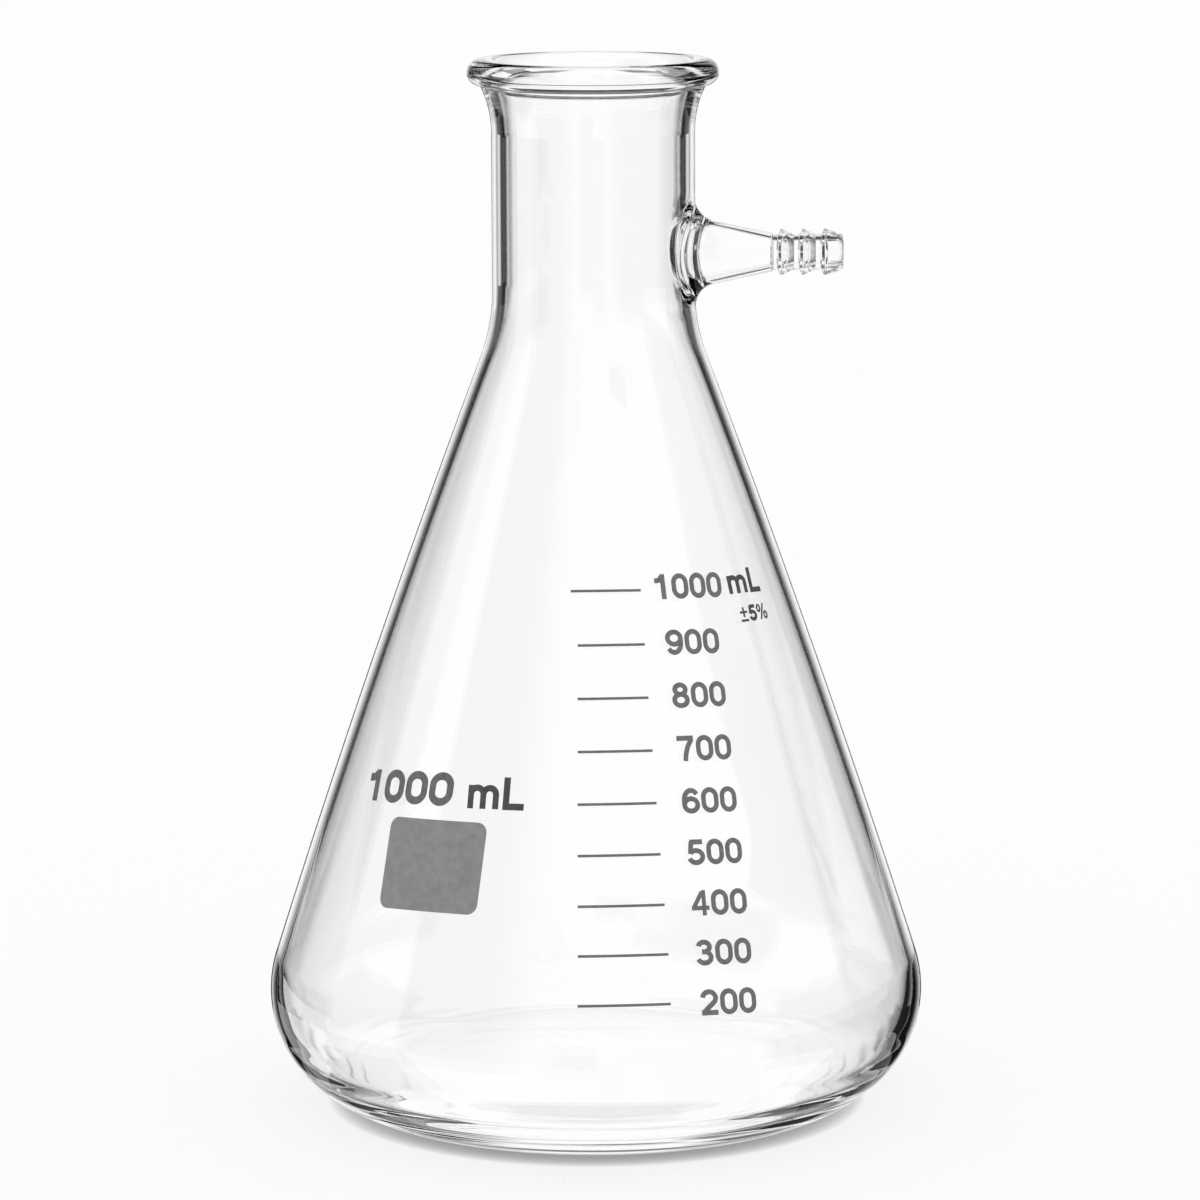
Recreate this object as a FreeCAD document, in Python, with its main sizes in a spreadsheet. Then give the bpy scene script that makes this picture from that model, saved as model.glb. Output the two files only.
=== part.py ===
import FreeCAD, Part
import math
import os
from enum import IntEnum

import Sketcher

# Filter flask of 1000 ml: one piece of blown borosilicate glass.
# Millimetres, +Z up, the axis of the flask on Z, its standing ring on the plane of X and Y.
# The side arm for the vacuum hose points along +X.

SIZES = {
    # The body, from the standing ring up to the end of the shoulder
    "body_diameter": 135.0,
    "heel_radius": 23.3,
    "cone_bow_radius": 2465.0,
    "shoulder_radius": 38.8,
    "shoulder_height": 168.3,
    "foot_width": 5.0,
    "push_up": 2.5,
    # The neck, its flare and the rolled rim
    "neck_diameter": 41.2,
    "neck_length": 32.1,
    "flare_rise": 14.6,
    "rim_overhang": 4.85,
    "rim_roll": 5.2,
    "rim_crease": 0.8,
    # The wall of the glass
    "body_wall": 2.1,
    "neck_wall": 2.9,
    "base_wall": 3.2,
    # The side arm: a taper fused to the neck, and a ridged hose end
    "arm_rise": 7.5,
    "arm_root_diameter": 15.6,
    "taper_length": 15.6,
    "taper_end_diameter": 7.9,
    "arm_fillet": 5.0,
    "hose_root_diameter": 7.2,
    "ridge_diameter": 9.5,
    "ridge_count": 3,
    "ridge_pitch": 4.4,
    "first_ridge": 1.8,
    "ridge_back": 0.6,
    "ridge_slope": 2.6,
    "ridge_round": 0.3,
    "tip_slope": 3.8,
    "tip_round": 0.4,
    # The bore of the arm
    "arm_wall": 1.2,
    "hose_bore": 5.2,
    "bore_round": 1.5,
}

# Lengths worked out from the sizes, as expressions on the sheet
FOOT_END = "sizes.body_diameter / 2 - sizes.heel_radius"
FOOT_START = f"{FOOT_END} - sizes.foot_width"
NECK_OUTSIDE = "sizes.neck_diameter / 2"
NECK_INSIDE = f"{NECK_OUTSIDE} - sizes.neck_wall"
FLARE_START = "sizes.shoulder_height + sizes.neck_length"
FLASK_TOP = f"{FLARE_START} + sizes.flare_rise"
ROLL = "sizes.rim_roll / 2"
ROLL_ACROSS = f"{NECK_OUTSIDE} + sizes.rim_overhang - sizes.rim_roll / 2"
ROLL_UP = f"{FLASK_TOP} - sizes.rim_roll / 2"
MOUTH = f"{NECK_OUTSIDE} + sizes.rim_overhang - sizes.rim_roll"
FLOOR_TOP = "sizes.push_up + sizes.base_wall"
INNER_HEEL = "sizes.heel_radius - sizes.body_wall"
INNER_BOW = "sizes.cone_bow_radius - sizes.body_wall"
INNER_SHOULDER = "sizes.shoulder_radius + sizes.body_wall"
ARM_HEIGHT = "sizes.shoulder_height + sizes.arm_rise"
TAPER_END = f"{NECK_OUTSIDE} + sizes.taper_length"
BORE_ROOT = "sizes.arm_root_diameter / 2 - sizes.arm_wall"
FIRST_CREST = f"{TAPER_END} + sizes.first_ridge"
LAST_CREST = f"{FIRST_CREST} + (sizes.ridge_count - 1) * sizes.ridge_pitch"
ARM_TIP = f"{LAST_CREST} + sizes.tip_slope"

# The planes for the profiles. The body's lie across the arm, so that the seams of the body's
# surfaces stay clear of the arm's root and of the mouth of its bore.
ALONG_THE_ARM = "XZ_Plane"
ACROSS_THE_ARM = "YZ_Plane"

QUARTER = math.pi / 2
HALF = math.pi
WHOLE_TURN = 360

TOLERANCE = 1e-4
UPWARD = (0, 0, 1)
OUTWARD = (1, 0, 0)

doc = FreeCAD.newDocument("filter_flask")
sheet = doc.addObject("Spreadsheet::Sheet", "sizes")
for row, (name, number) in enumerate(SIZES.items(), start=1):
    sheet.set(f"A{row}", name)
    sheet.set(f"B{row}", str(number))
    sheet.setAlias(f"B{row}", name)
doc.recompute()


class Own(IntEnum):
    """A sketch's own origin and axes, and the first edge it takes from outside, by number."""

    ORIGIN = -1
    ACROSS_AXIS = -1
    UPRIGHT_AXIS = -2
    FIRST_EXTERNAL = -3


class Spot(IntEnum):
    """The points of a sketch's edge, by number."""

    START = 1
    END = 2
    CENTRE = 3


def value(expression):
    """Return the number that an expression on the sheet gives."""
    return float(sheet.evalExpression(expression))


def near(first, second):
    """Tell whether two lengths are the same."""
    return abs(first - second) < TOLERANCE


def direction(centre, target):
    """Return the angle at which a target is seen from a centre."""
    return math.atan2(target[1] - centre[1], target[0] - centre[0])


def meet(low, high, low_reach, high_reach):
    """Return the point towards the axis that lies these distances from two centres."""
    gap = math.dist(low, high)
    along = (low_reach**2 - high_reach**2 + gap**2) / (2 * gap)
    aside = math.sqrt(low_reach**2 - along**2)
    across, up = (high[0] - low[0]) / gap, (high[1] - low[1]) / gap
    return (low[0] + along * across - aside * up, low[1] + along * up + aside * across)


def bend(across, up):
    """Return the radius of an arc that starts upright and moves this far across and up."""
    return (across**2 + up**2) / (2 * across)


class Profile:
    """A closed outline in an upright plane of a body, with its sizes bound to the sheet."""

    def __init__(self, body, name, role, lift=None):
        self.sketch = body.newObject("Sketcher::SketchObject", name)
        plane = next(f for f in body.Origin.OriginFeatures if f.Role == role)
        self.sketch.AttachmentSupport = [(plane, "")]
        self.sketch.MapMode = "FlatFace"
        if lift:
            self.sketch.setExpression(".AttachmentOffset.Base.y", lift)

    def line(self, start, end):
        """Draw a straight edge and return its number."""
        ends = [FreeCAD.Vector(*place, 0) for place in (start, end)]
        return self.sketch.addGeometry(Part.LineSegment(*ends))

    def arc(self, centre, radius, start, end):
        """Draw an arc counterclockwise between two angles and return its number."""
        circle = Part.Circle(FreeCAD.Vector(*centre, 0), FreeCAD.Vector(0, 0, 1), radius)
        return self.sketch.addGeometry(Part.ArcOfCircle(circle, start, end))

    def rule(self, kind, *terms):
        """Add a constraint that holds no size of its own."""
        self.sketch.addConstraint(Sketcher.Constraint(kind, *terms))

    def bind(self, expression, kind, *terms):
        """Add a constraint whose size is worked out from the sheet."""
        number = self.sketch.addConstraint(Sketcher.Constraint(kind, *terms, value(expression)))
        self.sketch.setExpression(f"Constraints[{number}]", expression)

    def place(self, edge, end, across=None, up=None):
        """Bind where an end of an edge lies, measured from the sketch's origin."""
        for kind, expression in (("DistanceX", across), ("DistanceY", up)):
            if expression:
                self.bind(expression, kind, Own.ORIGIN, Spot.START, edge, end)

    def smooth(self, edge, end, following, following_end):
        """Join two edges end to end without a corner."""
        self.rule("Tangent", edge, end, following, following_end)

    def join(self, edge, end, following, following_end):
        """Join two edges end to end."""
        self.rule("Coincident", edge, end, following, following_end)

    def outline(self, corners):
        """Draw a closed outline of straight edges that starts and ends on the sketch's axis.

        Each corner is a pair of expressions, or None for a place on the axis it names.
        """
        places = [tuple(value(term) if term else 0.0 for term in corner) for corner in corners]
        count = len(places)
        edges = [self.line(places[i], places[(i + 1) % count]) for i in range(count)]
        for i, (across, up) in enumerate(corners):
            self.join(edges[i - 1], Spot.END, edges[i], Spot.START)
            self.place(edges[i], Spot.START, across, up)
            if not across:
                self.rule("PointOnObject", edges[i], Spot.START, Own.UPRIGHT_AXIS)
            if not up:
                self.rule("PointOnObject", edges[i], Spot.START, Own.ACROSS_AXIS)

    def revolve(self, body, kind, name, axis):
        """Turn the outline once round one of its sketch's axes."""
        doc.recompute()
        feature = body.newObject(f"PartDesign::{kind}", name)
        feature.Profile = self.sketch
        feature.ReferenceAxis = (self.sketch, [axis])
        feature.Angle = WHOLE_TURN
        doc.recompute()
        return feature


def draw_outside(body):
    """Draw the outside of the flask's body, from the push-up under it to the rolled rim."""
    heel, bow, shoulder = (value(f"sizes.{n}_radius") for n in ("heel", "cone_bow", "shoulder"))
    foot_start, foot_end, neck = value(FOOT_START), value(FOOT_END), value(NECK_OUTSIDE)
    shoulder_up, flare_up, top = value("sizes.shoulder_height"), value(FLARE_START), value(FLASK_TOP)
    roll, roll_across, roll_up = value(ROLL), value(ROLL_ACROSS), value(ROLL_UP)
    push_up = value("sizes.push_up")

    under_radius = bend(push_up, foot_start)
    under_centre = (0, push_up - under_radius)
    heel_centre = (foot_end, heel)
    shoulder_centre = (neck + shoulder, shoulder_up)
    bow_centre = meet(heel_centre, shoulder_centre, bow - heel, bow + shoulder)
    bow_low, bow_high = direction(bow_centre, heel_centre), direction(bow_centre, shoulder_centre)
    flare_radius = bend(roll_across - neck, roll_up - roll - flare_up)
    flare_centre = (neck + flare_radius, flare_up)
    flare_top = direction(flare_centre, (roll_across, roll_up - roll))

    profile = Profile(body, "outside_profile", ACROSS_THE_ARM)
    under = profile.arc(under_centre, under_radius, direction(under_centre, (foot_start, 0)), QUARTER)
    foot = profile.line((foot_start, 0), (foot_end, 0))
    heel_edge = profile.arc(heel_centre, heel, -QUARTER, bow_low)
    cone = profile.arc(bow_centre, bow, bow_low, bow_high)
    shoulder_edge = profile.arc(shoulder_centre, shoulder, HALF, HALF + bow_high)
    neck_edge = profile.line((neck, shoulder_up), (neck, flare_up))
    flare = profile.arc(flare_centre, flare_radius, flare_top, HALF)
    rim = profile.arc((roll_across, roll_up), roll, -QUARTER, QUARTER)
    lid = profile.line((roll_across, top), (0, top))
    axis = profile.line((0, top), (0, push_up))

    profile.rule("PointOnObject", under, Spot.CENTRE, Own.UPRIGHT_AXIS)
    profile.place(under, Spot.END, up="sizes.push_up")
    profile.join(under, Spot.START, foot, Spot.START)
    profile.rule("PointOnObject", foot, Spot.START, Own.ACROSS_AXIS)
    profile.rule("Horizontal", foot)
    profile.place(foot, Spot.START, across=FOOT_START)
    profile.smooth(foot, Spot.END, heel_edge, Spot.START)
    profile.bind("sizes.heel_radius", "Radius", heel_edge)
    profile.place(heel_edge, Spot.CENTRE, across=FOOT_END)
    profile.smooth(heel_edge, Spot.END, cone, Spot.START)
    profile.bind("sizes.cone_bow_radius", "Radius", cone)
    profile.smooth(cone, Spot.END, shoulder_edge, Spot.END)
    profile.bind("sizes.shoulder_radius", "Radius", shoulder_edge)
    profile.smooth(shoulder_edge, Spot.START, neck_edge, Spot.START)
    profile.rule("Vertical", neck_edge)
    profile.place(neck_edge, Spot.START, across=NECK_OUTSIDE, up="sizes.shoulder_height")
    profile.place(neck_edge, Spot.END, up=FLARE_START)
    profile.smooth(neck_edge, Spot.END, flare, Spot.END)
    profile.join(flare, Spot.START, rim, Spot.START)
    profile.rule("Vertical", rim, Spot.START, rim, Spot.CENTRE)
    profile.place(rim, Spot.CENTRE, across=ROLL_ACROSS, up=ROLL_UP)
    profile.smooth(rim, Spot.END, lid, Spot.START)
    profile.rule("Horizontal", lid)
    profile.place(lid, Spot.START, up=FLASK_TOP)
    profile.join(lid, Spot.END, axis, Spot.START)
    profile.rule("PointOnObject", axis, Spot.START, Own.UPRIGHT_AXIS)
    profile.rule("Vertical", axis)
    profile.join(axis, Spot.END, under, Spot.END)
    return profile, bow_centre


def bow_edge(sketch):
    """Return the name of the bowed side of the cone in the outside's sketch."""
    bow = value("sizes.cone_bow_radius")
    for number, edge in enumerate(sketch.Shape.Edges, start=1):
        if isinstance(edge.Curve, Part.Circle) and near(edge.Curve.Radius, bow):
            return f"Edge{number}"
    raise RuntimeError("the outside has no bowed side")


def draw_cavity(body, outside, bow_centre):
    """Draw the inside of the flask's body, a wall's thickness within the outside."""
    heel, bow, shoulder = value(INNER_HEEL), value(INNER_BOW), value(INNER_SHOULDER)
    neck, mouth = value(NECK_INSIDE), value(MOUTH)
    flare_up, top = value(FLARE_START), value(FLASK_TOP)
    floor_top, base = value(FLOOR_TOP), value("sizes.base_wall")

    heel_up = base + heel
    heel_reach = math.sqrt((bow - heel) ** 2 - (heel_up - bow_centre[1]) ** 2)
    heel_centre = (bow_centre[0] + heel_reach, heel_up)
    shoulder_across = neck + shoulder
    shoulder_reach = math.sqrt((bow + shoulder) ** 2 - (shoulder_across - bow_centre[0]) ** 2)
    shoulder_centre = (shoulder_across, bow_centre[1] + shoulder_reach)
    bow_low, bow_high = direction(bow_centre, heel_centre), direction(bow_centre, shoulder_centre)
    floor_radius = bend(floor_top - base, heel_centre[0]) - heel
    floor_centre = (0, floor_top - floor_radius)
    floor_end = direction(floor_centre, heel_centre)
    flare_radius = bend(mouth - neck, top - flare_up)
    flare_centre = (neck + flare_radius, flare_up)

    profile = Profile(body, "cavity_profile", ACROSS_THE_ARM)
    profile.sketch.addExternal(outside.sketch.Name, bow_edge(outside.sketch))
    floor = profile.arc(floor_centre, floor_radius, floor_end, QUARTER)
    heel_edge = profile.arc(heel_centre, heel, floor_end - HALF, bow_low)
    inner_cone = profile.arc(bow_centre, bow, bow_low, bow_high)
    shoulder_edge = profile.arc(shoulder_centre, shoulder, HALF, HALF + bow_high)
    neck_edge = profile.line((neck, shoulder_centre[1]), (neck, flare_up))
    flare = profile.arc(flare_centre, flare_radius, direction(flare_centre, (mouth, top)), HALF)
    lid = profile.line((mouth, top), (0, top))
    axis = profile.line((0, top), (0, floor_top))

    profile.rule("PointOnObject", floor, Spot.CENTRE, Own.UPRIGHT_AXIS)
    profile.place(floor, Spot.END, up=FLOOR_TOP)
    profile.smooth(floor, Spot.START, heel_edge, Spot.START)
    profile.bind(INNER_HEEL, "Radius", heel_edge)
    profile.place(heel_edge, Spot.CENTRE, up=f"sizes.base_wall + {INNER_HEEL}")
    profile.smooth(heel_edge, Spot.END, inner_cone, Spot.START)
    profile.join(inner_cone, Spot.CENTRE, Own.FIRST_EXTERNAL, Spot.CENTRE)
    profile.bind(INNER_BOW, "Radius", inner_cone)
    profile.smooth(inner_cone, Spot.END, shoulder_edge, Spot.END)
    profile.bind(INNER_SHOULDER, "Radius", shoulder_edge)
    profile.smooth(shoulder_edge, Spot.START, neck_edge, Spot.START)
    profile.rule("Vertical", neck_edge)
    profile.place(neck_edge, Spot.START, across=NECK_INSIDE)
    profile.place(neck_edge, Spot.END, up=FLARE_START)
    profile.smooth(neck_edge, Spot.END, flare, Spot.END)
    profile.place(flare, Spot.START, across=MOUTH, up=FLASK_TOP)
    profile.join(flare, Spot.START, lid, Spot.START)
    profile.rule("Horizontal", lid)
    profile.join(lid, Spot.END, axis, Spot.START)
    profile.rule("PointOnObject", axis, Spot.START, Own.UPRIGHT_AXIS)
    profile.rule("Vertical", axis)
    profile.join(axis, Spot.END, floor, Spot.END)
    return profile


def draw_arm(body):
    """Draw the outside of the side arm: its taper, its ridges for the hose and its tip."""
    root, end = "sizes.arm_root_diameter / 2", "sizes.taper_end_diameter / 2"
    hose, ridge = "sizes.hose_root_diameter / 2", "sizes.ridge_diameter / 2"
    corners = [(NECK_INSIDE, None), (NECK_INSIDE, root), (TAPER_END, end), (TAPER_END, hose)]
    for number in range(round(value("sizes.ridge_count"))):
        crest = f"{FIRST_CREST} + {number} * sizes.ridge_pitch"
        corners += [(f"{crest} - sizes.ridge_back", hose), (crest, ridge)]
        corners += [(f"{crest} + sizes.ridge_slope", hose)]
    corners[-1] = (ARM_TIP, hose)
    corners += [(ARM_TIP, None)]
    profile = Profile(body, "arm_profile", ALONG_THE_ARM, lift=ARM_HEIGHT)
    profile.outline(corners)
    return profile


def draw_bore(body):
    """Draw the bore of the side arm, from the middle of the neck out through the tip."""
    end = "sizes.taper_end_diameter / 2 - sizes.arm_wall"
    hose = "sizes.hose_bore / 2"
    profile = Profile(body, "bore_profile", ALONG_THE_ARM, lift=ARM_HEIGHT)
    profile.outline([
        (None, None), (None, BORE_ROOT), (NECK_OUTSIDE, BORE_ROOT),
        (TAPER_END, end), (TAPER_END, hose), (ARM_TIP, hose), (ARM_TIP, None),
    ])
    return profile


def round_edges(body, name, base, radius, chosen):
    """Round the edges of a feature that a test picks out."""
    fillet = body.newObject("PartDesign::Fillet", name)
    edges = [f"Edge{i}" for i, edge in enumerate(base.Shape.Edges, start=1) if chosen(edge)]
    fillet.Base = (base, edges)
    fillet.setExpression("Radius", radius)
    doc.recompute()
    return fillet


def is_ring(edge, normal):
    """Tell whether an edge is a circle about an axis along a direction."""
    is_circle = not edge.Degenerated and isinstance(edge.Curve, Part.Circle)
    return is_circle and abs(edge.Curve.Axis.dot(FreeCAD.Vector(*normal))) > 1 - TOLERANCE


def is_arm_root(edge):
    """Pick the curve where the arm's taper meets the outside of the neck."""
    box = edge.BoundBox
    height = value(ARM_HEIGHT)
    beside = box.XMin > 0 and box.XMax < value(TAPER_END) and box.YLength > 2 * TOLERANCE
    return beside and box.ZMin < height < box.ZMax and not is_ring(edge, OUTWARD)


def is_rim_crease(edge):
    """Pick the ring where the flare meets the underside of the rolled rim."""
    return is_ring(edge, UPWARD) and near(edge.Curve.Center.z, value(f"{FLASK_TOP} - 2 * {ROLL}"))


def is_mouth(edge):
    """Pick the inner ring of the mouth."""
    at_top = is_ring(edge, UPWARD) and near(edge.Curve.Center.z, value(FLASK_TOP))
    return at_top and near(edge.Curve.Radius, value(MOUTH))


def is_ridge(edge):
    """Pick the crests of the ridges for the hose."""
    return is_ring(edge, OUTWARD) and near(edge.Curve.Radius, value("sizes.ridge_diameter / 2"))


def is_tip(edge):
    """Pick the outer ring of the arm's tip."""
    at_tip = is_ring(edge, OUTWARD) and near(edge.Curve.Center.x, value(ARM_TIP))
    return at_tip and near(edge.Curve.Radius, value("sizes.hose_root_diameter / 2"))


def is_bore_mouth(edge):
    """Pick the curve where the arm's bore opens into the neck."""
    bore, height = value(BORE_ROOT), value(ARM_HEIGHT)
    on_bore = all(near(math.hypot(v.Y, v.Z - height), bore) for v in edge.Vertexes)
    box = edge.BoundBox
    return on_bore and box.XMax < value(NECK_OUTSIDE) - TOLERANCE and box.YLength > TOLERANCE


def build_flask():
    """Build the flask as one solid and return its body."""
    body = doc.addObject("PartDesign::Body", "flask")
    body.Label = "flask"
    outside, bow_centre = draw_outside(body)
    outside.revolve(body, "Revolution", "blank", "V_Axis")
    arm = draw_arm(body).revolve(body, "Revolution", "side_arm", "H_Axis")
    joined = round_edges(body, "arm_root", arm, "sizes.arm_fillet", is_arm_root)
    creased = round_edges(body, "rim_crease", joined, "sizes.rim_crease", is_rim_crease)
    ridged = round_edges(body, "ridge_crests", creased, "sizes.ridge_round", is_ridge)
    round_edges(body, "arm_tip", ridged, "sizes.tip_round", is_tip)
    cavity = draw_cavity(body, outside, bow_centre)
    hollow = cavity.revolve(body, "Groove", "cavity", "V_Axis")
    mouth = round_edges(body, "mouth_edge", hollow, ROLL, is_mouth)
    bored = draw_bore(body).revolve(body, "Groove", "arm_bore", "H_Axis")
    round_edges(body, "bore_mouth", bored, "sizes.bore_round", is_bore_mouth)
    return body


flask = build_flask()
doc.recompute()

for item in doc.Objects:
    if "Invalid" in item.State or "Error" in item.State:
        raise RuntimeError(f"{item.Name} could not be built: {item.State}")
if flask.Shape.isNull() or not flask.Shape.isValid() or len(flask.Shape.Solids) != 1:
    raise RuntimeError("flask is not one valid solid")

os.makedirs("parts", exist_ok=True)
flask.Shape.exportStep(f"parts/{flask.Label}.step")
box = flask.Shape.optimalBoundingBox(True, False)
spans = " x ".join(f"{span:.1f}" for span in (box.XLength, box.YLength, box.ZLength))
print(f"flask: {spans} mm, {flask.Shape.Volume:.0f} mm3")
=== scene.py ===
"""The filter flask: blown glass, its grey enamel print and the bright studio it stands in."""

import logging
import math
from collections.abc import Callable
from dataclasses import dataclass
from enum import Enum
from functools import partial

import bmesh
import bpy
from bmesh.types import BMEdge, BMesh, BMFace, BMVert
from mathutils import Matrix, Vector


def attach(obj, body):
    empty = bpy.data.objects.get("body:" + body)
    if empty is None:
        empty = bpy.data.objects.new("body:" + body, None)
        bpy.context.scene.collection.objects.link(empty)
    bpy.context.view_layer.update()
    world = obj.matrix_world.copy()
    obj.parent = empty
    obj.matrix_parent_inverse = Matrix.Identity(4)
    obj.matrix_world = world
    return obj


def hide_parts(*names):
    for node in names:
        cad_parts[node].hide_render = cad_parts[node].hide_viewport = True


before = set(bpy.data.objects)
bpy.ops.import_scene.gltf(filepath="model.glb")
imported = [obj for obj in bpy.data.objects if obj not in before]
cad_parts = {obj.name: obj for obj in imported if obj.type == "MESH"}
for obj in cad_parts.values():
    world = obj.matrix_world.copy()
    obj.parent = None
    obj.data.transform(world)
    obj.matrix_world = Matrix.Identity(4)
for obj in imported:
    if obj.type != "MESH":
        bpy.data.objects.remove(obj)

log = logging.getLogger("flask")

MM = 0.001
QUARTER = math.pi / 2
HALF = math.pi
WHOLE = 2 * math.pi
WELD = 1e-4

Point = tuple[float, float]
Colour = tuple[float, float, float, float]


class Ray(Enum):
    """The kinds of light path that a finish of the studio tells apart."""

    CAMERA = "Is Camera Ray"
    GLOSSY = "Is Glossy Ray"
    TRANSMISSION = "Is Transmission Ray"


def direction(centre: Point, target: Point) -> float:
    """Return the angle at which a target is seen from a centre."""
    return math.atan2(target[1] - centre[1], target[0] - centre[0])


def meet(low: Point, high: Point, low_reach: float, high_reach: float) -> Point:
    """Find the point at given distances from two centres, left of the way between them.

    Args:
        low: The first centre.
        high: The second centre.
        low_reach: The distance from the first centre.
        high_reach: The distance from the second centre.

    Returns:
        The point, as its places across and up.
    """
    gap = math.dist(low, high)
    along = (low_reach**2 - high_reach**2 + gap**2) / (2 * gap)
    aside = math.sqrt(low_reach**2 - along**2)
    across, up = (high[0] - low[0]) / gap, (high[1] - low[1]) / gap
    return (low[0] + along * across - aside * up, low[1] + along * up + aside * across)


def bend(across: float, up: float) -> float:
    """Return the radius of an arc that starts upright and moves this far across and up."""
    return (across**2 + up**2) / (2 * across)


def conic(start: Vector, corner: Vector, end: Vector, share: float) -> Vector:
    """Return a point on the round arc that leaves start and reaches end along a corner's sides.

    Args:
        start: Where the arc leaves the first side.
        corner: Where the two sides would meet.
        end: Where the arc reaches the second side.
        share: How far along the arc the point lies, from 0 to 1.

    Returns:
        The point.
    """
    weight = math.sin((start - corner).angle(end - corner) / 2)
    rest = 1 - share
    total = rest**2 + 2 * rest * share * weight + share**2
    return (start * rest**2 + corner * (2 * rest * share * weight) + end * share**2) / total


def add(mesh: BMesh, other: BMesh) -> None:
    """Add another mesh to a mesh.

    Args:
        mesh: The mesh that takes it in.
        other: The mesh that is added, which is freed.
    """
    data = bpy.data.meshes.new("added")
    other.to_mesh(data)
    other.free()
    mesh.from_mesh(data)
    bpy.data.meshes.remove(data)


def finish_piece(mesh: BMesh, name: str, material: bpy.types.Material,
                 smooth: bool = True) -> bpy.types.Object:
    """Put a finished mesh in the scene, with its material.

    Args:
        mesh: The mesh, in metres, which is freed.
        name: The object's name.
        material: Its material.
        smooth: Whether its faces are shaded smooth.

    Returns:
        The object.
    """
    for face in mesh.faces:
        face.smooth = smooth
    data = bpy.data.meshes.new(name)
    mesh.to_mesh(data)
    mesh.free()
    data.materials.append(material)
    piece = bpy.data.objects.new(name, data)
    bpy.context.scene.collection.objects.link(piece)
    return piece


def grey(level: float) -> Colour:
    """Return the colour of a level of grey."""
    return (level, level, level, 1.0)


class Nodes:
    """The nodes of a finish, a card or the world, made and joined one after the other."""

    def __init__(self, owner: bpy.types.Material | bpy.types.World) -> None:
        """Start without any node.

        Args:
            owner: The material or the world that the nodes belong to.
        """
        owner.use_nodes = True
        self.tree = owner.node_tree
        self.tree.nodes.clear()

    def make(self, kind: str, inputs: dict[str | int, object] | None = None) -> bpy.types.Node:
        """Make a node, and fill its inputs.

        Args:
            kind: The kind of node, without the words that all kinds share.
            inputs: The value of each input, or the other node's output that it takes.

        Returns:
            The node.
        """
        node = self.tree.nodes.new(f"ShaderNode{kind}")
        for key, value in (inputs or {}).items():
            if isinstance(value, bpy.types.NodeSocket):
                self.tree.links.new(value, node.inputs[key])
            else:
                node.inputs[key].default_value = value
        return node


class Pen:
    """A pen that draws a section in the plane of X and Z, by extruding and spinning its tip."""

    def __init__(self, mesh: BMesh, across: float, up: float) -> None:
        """Put the pen's tip down at a place."""
        self.mesh = mesh
        self.tip = mesh.verts.new((across, 0, up))

    def line(self, across: float, up: float, steps: int = 1) -> None:
        """Draw straight to a place.

        Args:
            across: The place's distance from the axis.
            up: The place's height.
            steps: How many edges the line has.
        """
        step = (Vector((across, 0, up)) - self.tip.co) / steps
        for _ in range(steps):
            self.tip = bmesh.ops.extrude_vert_indiv(self.mesh, verts=[self.tip])["verts"][0]
            bmesh.ops.translate(self.mesh, verts=[self.tip], vec=step)

    def arc(self, centre: Point, start: float, end: float, steps: int) -> None:
        """Draw an arc about a centre, from one angle to another.

        Args:
            centre: The arc's centre, across and up.
            start: The angle at which the tip is seen from the centre.
            end: The angle at which the arc ends.
            steps: How many edges the arc has.
        """
        drawn = bmesh.ops.spin(self.mesh, geom=[self.tip], cent=(centre[0], 0, centre[1]),
                               axis=(0, -1, 0), angle=end - start, steps=steps)
        self.tip = next(v for v in drawn["geom_last"] if isinstance(v, BMVert))


@dataclass(frozen=True)
class Steps:
    """How many edges each stretch of the wall's section has."""

    under: int = 10
    foot: int = 3
    heel: int = 34
    bow: int = 30
    neck: int = 6
    flare: int = 12
    crease: int = 7
    roll: int = 26
    lip: int = 12
    inner_flare: int = 14
    inner_heel: int = 60
    outer_floor: int = 26
    inner_floor: int = 34


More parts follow.
